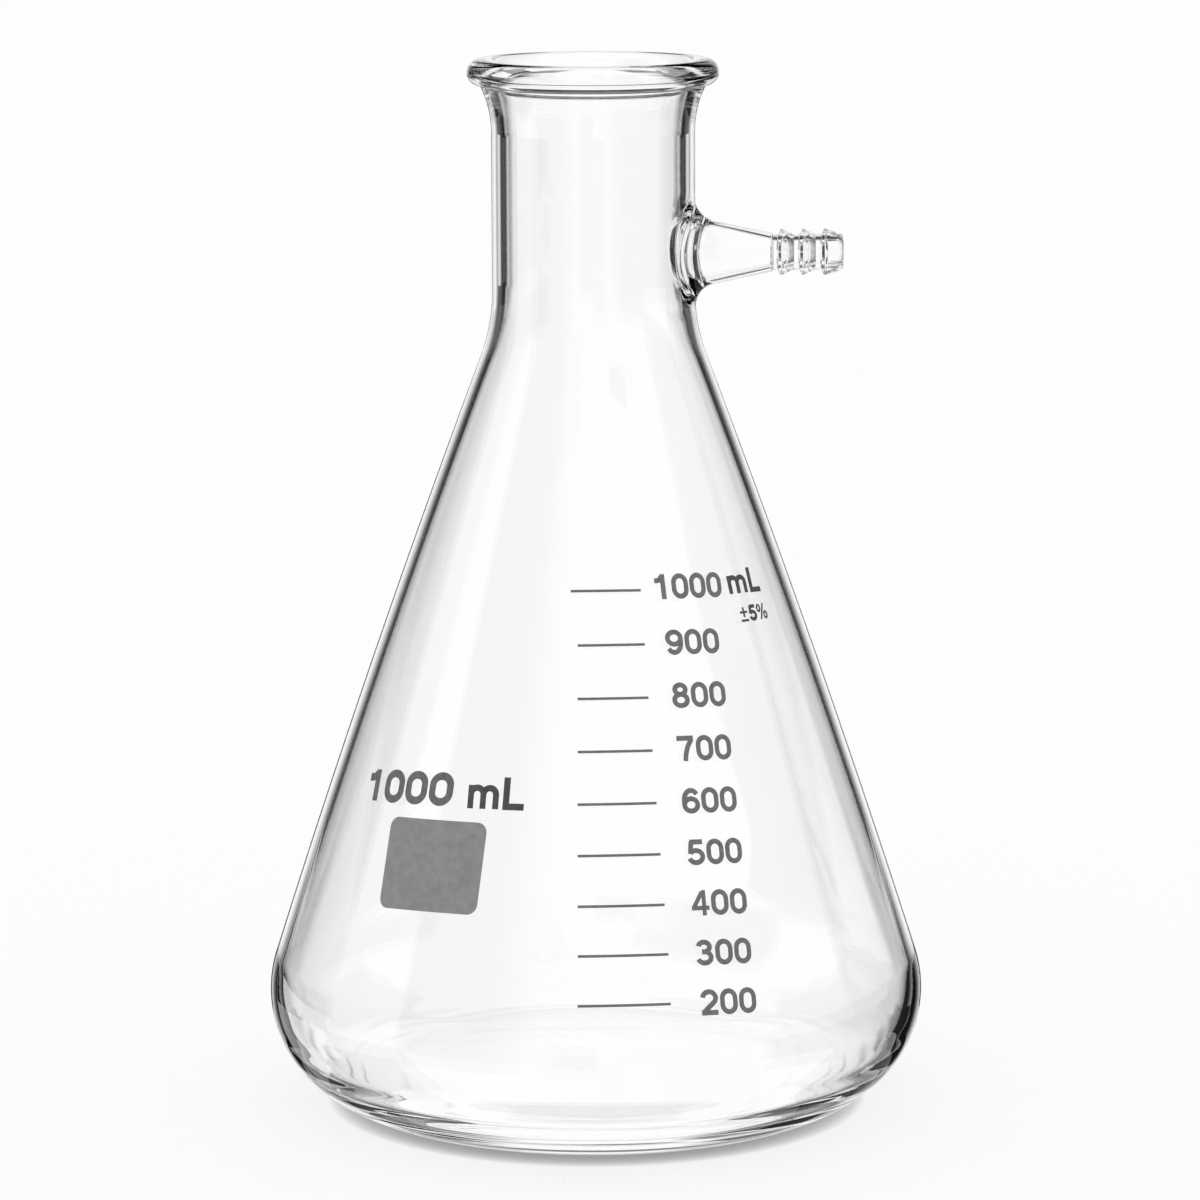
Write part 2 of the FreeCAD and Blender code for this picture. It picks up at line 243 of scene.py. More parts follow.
@dataclass
class Wall:
    """The wall of the flask's body, in millimetres: its outside, its inside and the rolled rim."""

    body_diameter: float = 135.0
    heel_radius: float = 23.3
    bow_radius: float = 2465.0
    shoulder_radius: float = 38.8
    shoulder_height: float = 168.3
    foot_width: float = 5.0
    push_up: float = 2.5
    neck_diameter: float = 41.2
    neck_length: float = 32.1
    flare_rise: float = 14.6
    rim_overhang: float = 4.85
    rim_roll: float = 5.2
    rim_crease: float = 0.8
    body_wall: float = 2.1
    neck_wall: float = 2.9
    base_wall: float = 3.2
    floor_split: float = 0.42
    columns: int = 192
    steps: Steps = Steps()

    def __post_init__(self) -> None:
        """Work out the centres and ends of the arcs from the sizes."""
        self.foot_end = self.body_diameter / 2 - self.heel_radius
        self.foot_start = self.foot_end - self.foot_width
        self.neck = self.neck_diameter / 2
        self.bore = self.neck - self.neck_wall
        self.flare_start = self.shoulder_height + self.neck_length
        self.top = self.flare_start + self.flare_rise
        self.roll = self.rim_roll / 2
        self.roll_centre = (self.neck + self.rim_overhang - self.roll, self.top - self.roll)
        self.heel_centre = (self.foot_end, self.heel_radius)
        self.shoulder_centre = (self.neck + self.shoulder_radius, self.shoulder_height)
        self.bow_centre = meet(self.heel_centre, self.shoulder_centre,
                               self.bow_radius - self.heel_radius,
                               self.bow_radius + self.shoulder_radius)
        self.inner_heel = self.heel_radius - self.body_wall
        self.inner_bow = self.bow_radius - self.body_wall
        self.inner_shoulder = self.shoulder_radius + self.body_wall
        heel_up = self.base_wall + self.inner_heel
        heel_reach = math.sqrt((self.inner_bow - self.inner_heel)**2
                               - (heel_up - self.bow_centre[1])**2)
        self.inner_heel_centre = (self.bow_centre[0] + heel_reach, heel_up)
        across = self.bore + self.inner_shoulder
        reach = math.sqrt((self.inner_bow + self.inner_shoulder)**2
                          - (across - self.bow_centre[0])**2)
        self.inner_shoulder_centre = (across, self.bow_centre[1] + reach)

    def outside(self, up: float) -> float:
        """Return the radius of the neck's and shoulder's outside at a height."""
        below = min(0.0, up - self.shoulder_height)
        return self.shoulder_centre[0] - math.sqrt(self.shoulder_radius**2 - below**2)

    def inside(self, up: float) -> float:
        """Return the radius of the neck's and shoulder's inside at a height."""
        below = min(0.0, up - self.inner_shoulder_centre[1])
        return self.inner_shoulder_centre[0] - math.sqrt(self.inner_shoulder**2 - below**2)

    def cone(self, up: float) -> float:
        """Return the radius of the bowed cone's outside at a height."""
        return self.bow_centre[0] + math.sqrt(self.bow_radius**2 - (up - self.bow_centre[1])**2)

    def draw(self, mesh: BMesh, patch: "Patch") -> None:
        """Draw the wall's whole section, from the axis below it to the axis inside it.

        Args:
            mesh: The mesh to draw in.
            patch: The part of the wall that the arm opens, whose rows lie evenly.
        """
        steps = self.steps
        pen = Pen(mesh, 0, self.push_up)
        under = bend(self.push_up, self.foot_start)
        under_centre = (0, self.push_up - under)
        pen.arc(under_centre, QUARTER, direction(under_centre, (self.foot_start, 0)), steps.under)
        pen.line(self.foot_end, 0, steps.foot)
        bow_low = direction(self.bow_centre, self.heel_centre)
        bow_high = direction(self.bow_centre, self.shoulder_centre)
        pen.arc(self.heel_centre, -QUARTER, bow_low, steps.heel)
        pen.arc(self.bow_centre, bow_low, bow_high, steps.bow)
        pen.arc(self.shoulder_centre, HALF + bow_high, HALF, patch.shoulder_steps)
        pen.line(self.neck, patch.outer_top, patch.neck_rows)
        pen.line(self.neck, self.flare_start, steps.neck)
        self.draw_rim(pen)
        pen.line(self.bore, patch.inner_top, steps.neck)
        pen.line(self.bore, self.inner_shoulder_centre[1], patch.neck_rows)
        bow_low = direction(self.bow_centre, self.inner_heel_centre)
        bow_high = direction(self.bow_centre, self.inner_shoulder_centre)
        pen.arc(self.inner_shoulder_centre, HALF, HALF + bow_high, patch.shoulder_steps)
        pen.arc(self.bow_centre, bow_high, bow_low, steps.bow)
        floor = bend(self.push_up, self.inner_heel_centre[0]) - self.inner_heel
        floor_centre = (0, self.push_up + self.base_wall - floor)
        floor_end = direction(floor_centre, self.inner_heel_centre)
        floor_middle = QUARTER - (QUARTER - floor_end) * self.floor_split
        pen.arc(self.inner_heel_centre, bow_low, floor_end - HALF, steps.inner_heel)
        pen.arc(floor_centre, floor_end, floor_middle, steps.outer_floor)
        pen.arc(floor_centre, floor_middle, QUARTER, steps.inner_floor)
        pen.tip.co = (0, 0, self.push_up + self.base_wall)

    def draw_rim(self, pen: Pen) -> None:
        """Draw the flare, the rolled rim and the flare's inside, from neck to neck.

        Args:
            pen: The pen, whose tip is at the outside's flare and ends at the inside's.
        """
        flare = bend(self.roll_centre[0] - self.neck, self.roll_centre[1] - self.roll - self.flare_start)
        flare_centre = (self.neck + flare, self.flare_start)
        crease = meet(flare_centre, self.roll_centre, flare - self.rim_crease,
                      self.roll + self.rim_crease)
        leave = direction(flare_centre, crease)
        reach = direction(crease, self.roll_centre)
        pen.arc(flare_centre, HALF, leave, self.steps.flare)
        pen.arc(crease, leave, reach, self.steps.crease)
        pen.arc(self.roll_centre, reach - HALF, QUARTER, self.steps.roll)
        mouth = self.roll_centre[0] - self.roll
        inner_flare = bend(mouth - self.bore, self.flare_rise)
        inner_centre = (self.bore + inner_flare, self.flare_start)
        lip_reach = inner_flare - self.roll
        lip = (inner_centre[0] - math.sqrt(lip_reach**2 - (self.flare_rise - self.roll)**2),
               self.roll_centre[1])
        lip_end = direction(inner_centre, lip)
        pen.line(lip[0], self.top)
        pen.arc(lip, QUARTER, lip_end, self.steps.lip)
        pen.arc(inner_centre, lip_end, HALF, self.steps.inner_flare)


@dataclass
class Patch:
    """The rows and columns of the wall that the side arm opens, alike outside and inside."""

    outer_top: float = 189.1
    inner_top: float = 186.5
    neck_rows: int = 19
    shoulder_steps: int = 12
    shoulder_rows: int = 5
    half_columns: int = 19

    def faces(self, mesh: BMesh, wall: Wall, inner: bool) -> list[BMFace]:
        """Pick the wall's faces that the arm opens, on one side of the wall.

        Args:
            mesh: The spun wall.
            wall: The wall's sizes.
            inner: Whether the inside's faces are picked.

        Returns:
            The faces.
        """
        turn = self.half_columns * WHOLE / wall.columns
        centre = wall.inner_shoulder_centre if inner else wall.shoulder_centre
        radius = wall.inner_shoulder if inner else wall.shoulder_radius
        bow = direction(wall.bow_centre, centre)
        low = centre[1] - radius * math.sin(bow * self.shoulder_rows / self.shoulder_steps)
        high = self.inner_top if inner else self.outer_top
        picked = []
        for face in mesh.faces:
            place = face.calc_center_median()
            if place.x < 0 or abs(math.atan2(place.y, place.x)) > turn or not low < place.z < high:
                continue
            across = math.hypot(place.x, place.y)
            middle = (wall.outside(place.z) + wall.inside(place.z)) / 2
            if (across < middle) == inner:
                picked.append(face)
        return picked


@dataclass
class Arm:
    """The side arm, in millimetres: a taper fused to the neck and a ridged end for the hose."""

    wall: Wall
    rise: float = 7.5
    root_radius: float = 7.8
    taper_length: float = 15.6
    taper_end: float = 3.95
    fillet: float = 5.0
    hose_root: float = 3.6
    ridge: float = 4.75
    ridge_count: int = 3
    ridge_pitch: float = 4.4
    first_ridge: float = 1.8
    ridge_back: float = 0.6
    ridge_slope: float = 2.6
    tip_slope: float = 3.8
    wall_thickness: float = 1.2
    hose_bore: float = 2.6
    bore_round: float = 1.5
    root_step: float = 0.2
    step_round: float = 0.12
    hollow_round: float = 0.15
    crest_round: float = 0.22
    slope_round: float = 0.25
    tip_round: float = 0.4
    mouth_round: float = 0.3
    inner_round: float = 0.1
    flat_rings: int = 5
    round_rings: int = 10
    taper_rings: int = 8
    taper_gap: float = 0.4
    ring_gap: float = 1.6
    corner_steps: int = 5
    bore_rings: int = 12
    rounds: int = 12
    trace: float = 0.01

    def __post_init__(self) -> None:
        """Work out the arm's height, the ends of its taper and the radius of its bore."""
        self.height = self.wall.shoulder_height + self.rise
        self.taper_start = self.wall.bore
        self.taper_stop = self.wall.neck + self.taper_length
        self.bore_root = self.root_radius - self.wall_thickness
        last = self.first_ridge + (self.ridge_count - 1) * self.ridge_pitch
        self.tip = self.taper_stop + last + self.tip_slope

    def polar(self, place: Vector) -> Point:
        """Return a place's angle round the arm's axis and its distance from it."""
        return math.atan2(place.z - self.height, place.y), math.hypot(place.y, place.z - self.height)

    def spot(self, angle: float, away: float, out: float) -> Vector:
        """Return the place at an angle round the arm's axis, a distance from it and out along it."""
        return Vector((out, away * math.cos(angle), self.height + away * math.sin(angle)))

    def taper(self, out: float) -> float:
        """Return the radius of the taper's outside at a distance out."""
        share = (out - self.taper_start) / (self.taper_stop - self.taper_start)
        return self.root_radius + (self.taper_end - self.root_radius) * share

    def depth(self, angle: float, away: float, inner: bool) -> float:
        """Return how far out the neck's surface lies, at an angle and distance from the arm's axis."""
        radius = (self.wall.inside if inner else self.wall.outside)(self.height + away * math.sin(angle))
        return math.sqrt(radius**2 - (away * math.cos(angle))**2)

    def joint(self, angle: float, inner: bool) -> tuple[Vector, Vector, Vector]:
        """Find the rounding between the neck's surface and the arm, at an angle round its axis.

        Args:
            angle: The angle round the arm's axis.
            inner: Whether it is the rounding of the bore's mouth, inside the neck.

        Returns:
            Where the rounding leaves the neck, its corner, and where it reaches the arm, each as
            a distance from the axis and a distance out.
        """
        radius = self.bore_round if inner else self.fillet
        tube = (lambda out: self.bore_root) if inner else self.taper
        step = self.trace
        away = tube(self.wall.neck)
        for _ in range(self.rounds):
            out = self.depth(angle, away, inner)
            away = tube(out)
        ahead = self.depth(angle, away + step, inner)
        behind = self.depth(angle, away - step, inner)
        along_neck = Vector((1, (ahead - behind) / (2 * step))).normalized()
        along_arm = Vector((tube(out + step) - tube(out), step)).normalized()
        reach = radius / math.tan(along_neck.angle(along_arm) / 2)
        foot_away = away + reach * along_neck.x
        foot = Vector((foot_away, self.depth(angle, foot_away, inner)))
        rise = (self.depth(angle, foot_away + step, inner) - foot.y) / step
        corner_away = away
        for _ in range(self.rounds):
            corner_out = foot.y + rise * (corner_away - foot_away)
            corner_away = tube(corner_out)
        landing_out = corner_out + reach * along_arm.y
        return foot, Vector((corner_away, corner_out)), Vector((tube(landing_out), landing_out))

    def hose_corners(self) -> list[tuple[float, float, float]]:
        """List the corners of the hose end and the bore, each with the radius of its rounding.

        Returns:
            The corners, as distances out and from the axis, and their radii.
        """
        step = self.taper_stop + self.root_step
        corners = [(self.taper_stop, self.taper_end, self.hollow_round),
                   (step, self.hose_root, self.step_round)]
        for number in range(self.ridge_count):
            crest = self.taper_stop + self.first_ridge + number * self.ridge_pitch
            corners.append((crest - self.ridge_back, self.hose_root, self.hollow_round))
            corners.append((crest, self.ridge, self.crest_round))
            if number < self.ridge_count - 1:
                corners.append((crest + self.ridge_slope, self.hose_root, self.slope_round))
        return [*corners, (self.tip, self.hose_root, self.tip_round),
                (self.tip, self.hose_bore, self.mouth_round),
                (step, self.hose_bore, self.inner_round),
                (self.taper_stop, self.taper_end - self.wall_thickness, self.inner_round),
                (self.wall.neck, self.bore_root, 0.0)]

    def hose_rings(self) -> list[Point]:
        """Round the corners of the hose end and the bore, and set rings in between.

        Returns:
            The rings, as distances out and from the axis.
        """
        corners = self.hose_corners()
        rings = []
        before = Vector((self.taper_stop - 1, self.taper(self.taper_stop - 1)))
        for (out, away, radius), (next_out, next_away, _) in zip(corners, corners[1:]):
            corner = Vector((out, away))
            back = (before - corner).normalized()
            ahead = (Vector((next_out, next_away)) - corner).normalized()
            reach = radius / math.tan(back.angle(ahead) / 2)
            start, end = corner + back * reach, corner + ahead * reach
            if rings:
                between = int(math.dist(rings[-1], start) / self.ring_gap)
                last = Vector(rings[-1])
                rings += [tuple(last.lerp(start, (k + 1) / (between + 1))) for k in range(between)]
            rings += [tuple(conic(start, corner, end, k / self.corner_steps))
                      for k in range(self.corner_steps + 1)]
            before = corner
        last, stop = Vector(rings[-1]), Vector((self.wall.neck, self.bore_root))
        rings += [tuple(last.lerp(stop, k / self.bore_rings)) for k in range(1, self.bore_rings + 1)]
        return rings

    def flattened(self, inner: bool, remaining: int, now: Vector) -> Vector:
        """Lead a vertex a step over the neck's surface, towards the foot of the rounding.

        Args:
            inner: Whether it is the surface inside the neck.
            remaining: How many such steps are left.
            now: Where the vertex is.

        Returns:
            Where the vertex goes.
        """
        angle, away = self.polar(now)
        away += (self.joint(angle, inner)[0].x - away) / remaining
        return self.spot(angle, away, self.depth(angle, away, inner))

    def rounded(self, inner: bool, share: float, now: Vector) -> Vector:
        """Return where a vertex goes at a share of the rounding's arc."""
        angle = self.polar(now)[0]
        return self.spot(angle, *conic(*self.joint(angle, inner), share))

    def tapered(self, remaining: int, now: Vector) -> Vector:
        """Return where a vertex goes on the taper, with some steps left to the hose end."""
        out = now.x + (self.taper_stop - self.taper_gap - now.x) / remaining
        return self.spot(self.polar(now)[0], self.taper(out), out)

    @staticmethod
    def grow(mesh: BMesh, loop: list[BMEdge], place: Callable[[Vector], Vector]) -> list[BMEdge]:
        """Extrude a loop of edges and move its new vertices.

        Args:
            mesh: The mesh the loop is in.
            loop: The loop's edges.
            place: Where a new vertex goes, from where it was extruded.

        Returns:
            The edges of the new loop.
        """
        grown = bmesh.ops.extrude_edge_only(mesh, edges=loop)["geom"]
        fresh = {item for item in grown if isinstance(item, BMVert)}
        for vertex in fresh:
            vertex.co = place(vertex.co)
        return [item for item in grown
                if isinstance(item, BMEdge) and fresh.issuperset(item.verts)]

    def settle(self, mesh: BMesh, loop: list[BMEdge], inner: bool) -> list[BMEdge]:
        """Lead a square hole's edge over the neck's surface and round into the arm.

        Args:
            mesh: The spun wall, with its hole.
            loop: The edges of the hole.
            inner: Whether the hole is the one inside the neck.

        Returns:
            The edges of the loop where the rounding reaches the arm.
        """
        for remaining in range(self.flat_rings, 0, -1):
            loop = self.grow(mesh, loop, partial(self.flattened, inner, remaining))
        for number in range(1, self.round_rings + 1):
            loop = self.grow(mesh, loop, partial(self.rounded, inner, number / self.round_rings))
        return loop

    def build(self, mesh: BMesh, patch: Patch) -> None:
        """Open the wall on both sides and grow the arm between the two holes.

        Args:
            mesh: The spun wall.
            patch: The part of the wall that the arm opens.
        """
        limb = bmesh.new()
        loops = []
        for inner in (False, True):
            faces = set(patch.faces(mesh, self.wall, inner))
            rim = [edge for edge in {e for face in faces for e in face.edges}
                   if not faces.issuperset(edge.link_faces)]
            corners = {vertex for edge in rim for vertex in edge.verts}
            ends = {vertex: limb.verts.new(vertex.co) for vertex in corners}
            copied = [limb.edges.new([ends[vertex] for vertex in edge.verts]) for edge in rim]
            bmesh.ops.delete(mesh, geom=list(faces), context="FACES")
            loops.append(self.settle(limb, copied, inner))
        outer, inside = loops
        for remaining in range(self.taper_rings, 0, -1):
            outer = self.grow(limb, outer, partial(self.tapered, remaining))
        for out, away in self.hose_rings():
            outer = self.grow(limb, outer, lambda now: self.spot(self.polar(now)[0], away, out))
        bmesh.ops.bridge_loops(limb, edges=outer + inside)
        add(mesh, limb)
        bmesh.ops.remove_doubles(mesh, verts=mesh.verts, dist=WELD)


@dataclass(frozen=True)
class GlassFinish:
    """Clear borosilicate glass, fire polished."""

    refraction: float = 1.473
    colour: Colour = (0.995, 0.998, 0.996, 1.0)

    def build(self) -> bpy.types.Material:
        """Make the glass.

        Returns:
            The material.
        """
        material = bpy.data.materials.new("clear_glass")
        nodes = Nodes(material)
        glass = nodes.make("BsdfPrincipled", {"Base Color": self.colour, "Roughness": 0.0,
                                              "IOR": self.refraction, "Transmission Weight": 1.0})
        nodes.make("OutputMaterial", {"Surface": glass.outputs[0]})
        return material


@dataclass(frozen=True)
class Ripple:
    """Faint waves that working the glass leaves inside, about one ring of the floor or heel.

    The ring's place and the waves' reach are counted from the axis, along the section.
    """

    ring: float
    reach: float
    length: float
    height: float
    sway: float
    bends: tuple[tuple[float, int, float], ...] = ((1.0, 2, 0.6), (0.5, 5, 2.0))

    def lift(self, along: float, turn: float) -> float:
        """Find how far the waves raise the glass.

        Args:
            along: The place along the section.
            turn: The place round the axis.

        Returns:
            The height, in millimetres.
        """
        away = along - self.ring
        stray = self.sway * sum(share * math.sin(count * turn + start)
                                for share, count, start in self.bends)
        wave = math.cos(WHOLE * away / self.length + stray)
        return self.height * wave * math.exp(-(away / self.reach)**2)


@dataclass
class Flask:
    """The flask's one piece of glass, body and arm together."""

    wall: Wall
    arm: Arm
    patch: Patch
    finish: GlassFinish
    ripples: tuple[Ripple, ...] = (
        Ripple(0.0, 10.0, 4.8, 0.04, 0.0),
        Ripple(51.0, 3.0, 3.4, 0.13, 0.2),
        Ripple(60.0, 8.0, 5.2, 0.06, 1.0),
    )
    slack: float = 0.05

    def uneven(self, mesh: BMesh) -> None:
        """Leave the floor's and the heel's inside a little uneven.

        Args:
            mesh: The glass, whose vertices move.
        """
        across, up = self.wall.inner_heel_centre
        low, floor = self.wall.push_up, self.wall.push_up + self.wall.base_wall
        heel_end = self.wall.inner_heel + self.slack
        for vertex in mesh.verts:
            away = math.hypot(vertex.co.x, vertex.co.y)
            beside, below = away - across, up - vertex.co.z
            if beside <= 0 and low < vertex.co.z < floor + WELD:
                along, inward = away, Vector((0, 0, 1))
            elif beside > 0 and below > 0 and math.hypot(beside, below) < heel_end:
                along = across + self.wall.inner_heel * math.atan2(beside, below)
                outward = Vector((vertex.co.x, vertex.co.y, 0)).normalized()
                inward = (Vector((0, 0, below)) - outward * beside).normalized()
            else:
                continue
            turn = math.atan2(vertex.co.y, vertex.co.x)
            vertex.co += inward * sum(ripple.lift(along, turn) for ripple in self.ripples)

    def build(self) -> bpy.types.Object:
        """Make the glass and put it in the scene.

        Returns:
            The glass, as one closed object.
        """
        mesh = bmesh.new()
        self.wall.draw(mesh, self.patch)
        section = mesh.verts[:] + mesh.edges[:]
        bmesh.ops.spin(mesh, geom=section, cent=(0, 0, 0), axis=(0, 0, 1), angle=WHOLE,
                       steps=self.wall.columns, use_merge=True)
        bmesh.ops.remove_doubles(mesh, verts=mesh.verts, dist=WELD)
        self.arm.build(mesh, self.patch)
        self.uneven(mesh)
        bmesh.ops.recalc_face_normals(mesh, faces=mesh.faces)
        bmesh.ops.scale(mesh, verts=mesh.verts, vec=(MM, MM, MM))
        open_edges = sum(not edge.is_manifold for edge in mesh.edges)
        log.info("glass: %d faces, %d open edges", len(mesh.faces), open_edges)
        return finish_piece(mesh, "glass_flask", self.finish.build())


@dataclass(frozen=True)
class EnamelFinish:
    """Fired grey enamel, printed on the glass, a little uneven where the ink lay thin."""

    name: str
    level: float
    mottle: float
    grain: float = 900.0
    thin: float = 0.3
    thick: float = 0.7
    cool: float = 1.02
    grit: float = 0.25
    grit_depth: float = 0.00002
    roughness: float = 0.55
    shine: float = 0.3

    def build(self) -> bpy.types.Material:
        """Make the enamel.

        Returns:
            The material.
        """
        material = bpy.data.materials.new(self.name)
        nodes = Nodes(material)
        place = nodes.make("TexCoord")
        noise = nodes.make("TexNoise", {"Vector": place.outputs["Object"], "Scale": self.grain,
                                        "Detail": 4.0, "Roughness": 0.6})
        tone = nodes.make("ValToRGB", {"Fac": noise.outputs["Fac"]})
        for element, position, share in zip(tone.color_ramp.elements, (self.thin, self.thick),
                                            (1 - self.mottle, 1 + self.mottle)):
            shade = self.level * share
            element.position = position
            element.color = (shade, shade, shade * self.cool, 1.0)
        bump = nodes.make("Bump", {"Strength": self.grit, "Distance": self.grit_depth,
                                   "Height": noise.outputs["Fac"]})
        enamel = nodes.make("BsdfPrincipled", {
            "Base Color": tone.outputs["Color"], "Normal": bump.outputs["Normal"],
            "Roughness": self.roughness, "Specular IOR Level": self.shine})
        nodes.make("OutputMaterial", {"Surface": enamel.outputs[0]})
        return material


@dataclass(frozen=True)
class Bow:
    """An arc of an ellipse within the stroke of a figure, between two angles in degrees."""

    across: float
    up: float
    wide: float
    tall: float
    start: float
    end: float
    step: float = 12.0

    def points(self) -> list[Point]:
        """Set points along the arc.

        Returns:
            The points, across and up.
        """
        count = max(2, round(abs(self.end - self.start) / self.step))
        turns = [math.radians(self.start + (self.end - self.start) * k / count)
                 for k in range(count + 1)]
        return [(self.across + self.wide * math.cos(turn), self.up + self.tall * math.sin(turn))
                for turn in turns]

    def turned(self, advance: float) -> "Bow":
        """Return the arc as it is once its figure, this wide, is turned half round."""
        return Bow(advance - self.across, 1 - self.up, self.wide, self.tall,
                   self.start + math.degrees(HALF), self.end + math.degrees(HALF))


Stroke = tuple[Point | Bow, ...]


@dataclass(frozen=True)
class Figure:
    """A printed figure as the strokes of a pen, in heights of a capital letter."""

    advance: float
    strokes: tuple[Stroke, ...]
    pen: float = 0.2

    def turned(self) -> "Figure":
        """Return the figure turned half round, as a 9 is a turned 6."""
        strokes = tuple(tuple(step.turned(self.advance) if isinstance(step, Bow)
                              else (self.advance - step[0], 1 - step[1]) for step in stroke)
                        for stroke in self.strokes)
        return Figure(self.advance, strokes, self.pen)


SIX = Figure(0.79, (
    (Bow(0.395, 0.335, 0.265, 0.245, 0, 360),),
    ((0.13, 0.34), Bow(0.42, 0.5, 0.29, 0.41, 180, 38)),
))

FIGURES = {
    " ": Figure(0.386, ()),
    "0": Figure(0.79, ((Bow(0.395, 0.62, 0.265, 0.29, 0, 180), Bow(0.395, 0.38, 0.265, 0.29, 180, 360),
                        (0.66, 0.62)),)),
    "1": Figure(0.79, (((0.46, 0.0), (0.46, 1.0)),
                       ((0.12, 0.745), Bow(0.22, 0.945, 0.2, 0.2, -90, -5)))),
    "2": Figure(0.79, ((Bow(0.39, 0.665, 0.26, 0.245, 175, -35), (0.16, 0.12)),
                       ((0.06, 0.09), (0.72, 0.09)))),
    "3": Figure(0.79, ((Bow(0.38, 0.72, 0.225, 0.19, 170, -90), (0.29, 0.53)),
                       ((0.29, 0.53), Bow(0.38, 0.31, 0.26, 0.22, 90, -165)))),
    "4": Figure(0.79, (((0.53, 0.0), (0.53, 1.0)), ((0.47, 0.93), (0.12, 0.33)),
                       ((0.03, 0.3), (0.74, 0.3))), 0.17),
    "5": Figure(0.79, (((0.17, 0.91), (0.68, 0.91)), ((0.23, 0.93), (0.165, 0.44)),
                       (Bow(0.385, 0.33, 0.27, 0.24, 145, -165),))),
    "6": SIX,
    "7": Figure(0.79, (((0.06, 0.91), (0.73, 0.91)),
                       ((0.66, 0.87), (0.49, 0.58), (0.39, 0.28), (0.35, 0.0)))),
    "8": Figure(0.79, ((Bow(0.395, 0.725, 0.215, 0.19, 0, 360),),
                       (Bow(0.395, 0.31, 0.26, 0.225, 0, 360),))),
    "9": SIX.turned(),
    "m": Figure(1.235, (((0.16, 0.0), (0.16, 0.73)), (Bow(0.38, 0.44, 0.22, 0.21, 180, 0), (0.6, 0.0)),
                        (Bow(0.82, 0.44, 0.22, 0.21, 180, 0), (1.04, 0.0)))),
    "L": Figure(0.83, (((0.16, 1.0), (0.16, 0.09), (0.76, 0.09)),), 0.21),
    "\u00b1": Figure(0.86, (((0.08, 0.6), (0.74, 0.6)), ((0.41, 0.28), (0.41, 0.92)),
                           ((0.08, 0.07), (0.74, 0.07))), 0.13),
    "%": Figure(1.15, ((Bow(0.26, 0.73, 0.15, 0.2, 0, 360),), (Bow(0.88, 0.27, 0.15, 0.2, 0, 360),),
                       ((0.8, 1.0), (0.34, 0.0))), 0.12),
}


@dataclass(frozen=True)
class Place:
    """Where something is printed: the azimuth from the front, the height and the tilt."""

    azimuth: float
    height: float
    tilt: float = 0.0


@dataclass(frozen=True)
class Legend:
    """A printed line of figures: its middle's place, its height, its width and its boldness."""

    words: str
    place: Place
    tall: float
    stretch: float = 1.0
    weight: float = 1.0


class Flat:
    """A flat mesh in X and Y, a unit thick, which is to be printed on the glass."""

    LAYER = 0.04
    LAYERS = 4

    def __init__(self) -> None:
        """Start without any mark."""
        self.mesh = bmesh.new()
        self.layers = 0

    def thicken(self, faces: list[BMFace]) -> None:
        """Give flat faces their thickness, each layer a trace more than the one before.

        Args:
            faces: The new faces of a stroke or a panel.
        """
        grown = bmesh.ops.extrude_face_region(self.mesh, geom=faces, use_keep_orig=True)["geom"]
        lifted = [item for item in grown if isinstance(item, BMVert)]
        bmesh.ops.translate(self.mesh, verts=lifted, vec=(0, 0, 1 + self.LAYER * self.layers))
        self.layers = (self.layers + 1) % self.LAYERS

    def stroke(self, path: list[Point], width: float) -> None:
        """Draw a stroke of even width along a path.

        Args:
            path: The middle of the stroke, closed where it ends where it starts.
            width: The width of the stroke.
        """
        places = [Vector(point) for k, point in enumerate(path)
                  if not k or math.dist(point, path[k - 1]) > WELD]
        closed = (places[0] - places[-1]).length < WELD
        if closed:
            places.pop()
        count = len(places)
        edge: BMEdge | None = None
        faces: list[BMFace] = []
        for k in [*range(count), *([0] if closed else [])]:
            here = places[k]
            back = (here - places[k - 1]).normalized() if closed or k else None
            ahead = (places[(k + 1) % count] - here).normalized() if closed or k < count - 1 else None
            way = ((back or ahead) + (ahead or back)).normalized()
            half = width / 2 / way.dot(ahead or back)
            sides = [here + Vector((-way.y, way.x)) * half * side for side in (1, -1)]
            if edge is None:
                edge = self.mesh.edges.new([self.mesh.verts.new((*side, 0)) for side in sides])
                continue
            grown = bmesh.ops.extrude_edge_only(self.mesh, edges=[edge])["geom"]
            fresh = [item for item in grown if isinstance(item, BMVert)]
            ends = sorted(fresh, key=lambda v: -(v.co.xy - here).dot(Vector((-way.y, way.x))))
            for vertex, side in zip(ends, sides):
                vertex.co = (*side, 0)
            edge = next(item for item in grown if isinstance(item, BMEdge)
                        and set(item.verts) == set(fresh))
            faces += [item for item in grown if isinstance(item, BMFace)]
        self.thicken(faces)

    def write(self, words: str, tall: float, stretch: float, weight: float) -> None:
        """Write a line of figures whose middle lies at X 0 and whose foot lies at Y 0.

        Args:
            words: The figures.
            tall: The height of a capital letter.
            stretch: How much wider than usual the figures are.
            weight: How much bolder than usual the strokes are.
        """
        left = -sum(FIGURES[letter].advance for letter in words) / 2
        for letter in words:
            figure = FIGURES[letter]
            for stroke in figure.strokes:
                path = []
                for step in stroke:
                    path += step.points() if isinstance(step, Bow) else [step]
                self.stroke([((x + left) * tall * stretch, y * tall) for x, y in path],
                            figure.pen * tall * weight)
            left += figure.advance

    def panel(self, length: float, height: float, corner: float = 0.0) -> None:
        """Draw a panel round the origin.

        Args:
            length: Its length in X.
            height: Its height in Y.
            corner: The radius of its corners, or 0 where they are sharp.
        """
        corners = bmesh.ops.create_grid(self.mesh, x_segments=1, y_segments=1, size=0.5)["verts"]
        bmesh.ops.scale(self.mesh, verts=corners, vec=(length, height, 1))
        if corner:
            bmesh.ops.bevel(self.mesh, geom=corners, offset=corner, segments=8, profile=0.5,
                            affect="VERTICES", material=-1)
        self.thicken([face for face in self.mesh.faces if face.calc_center_median().z == 0])


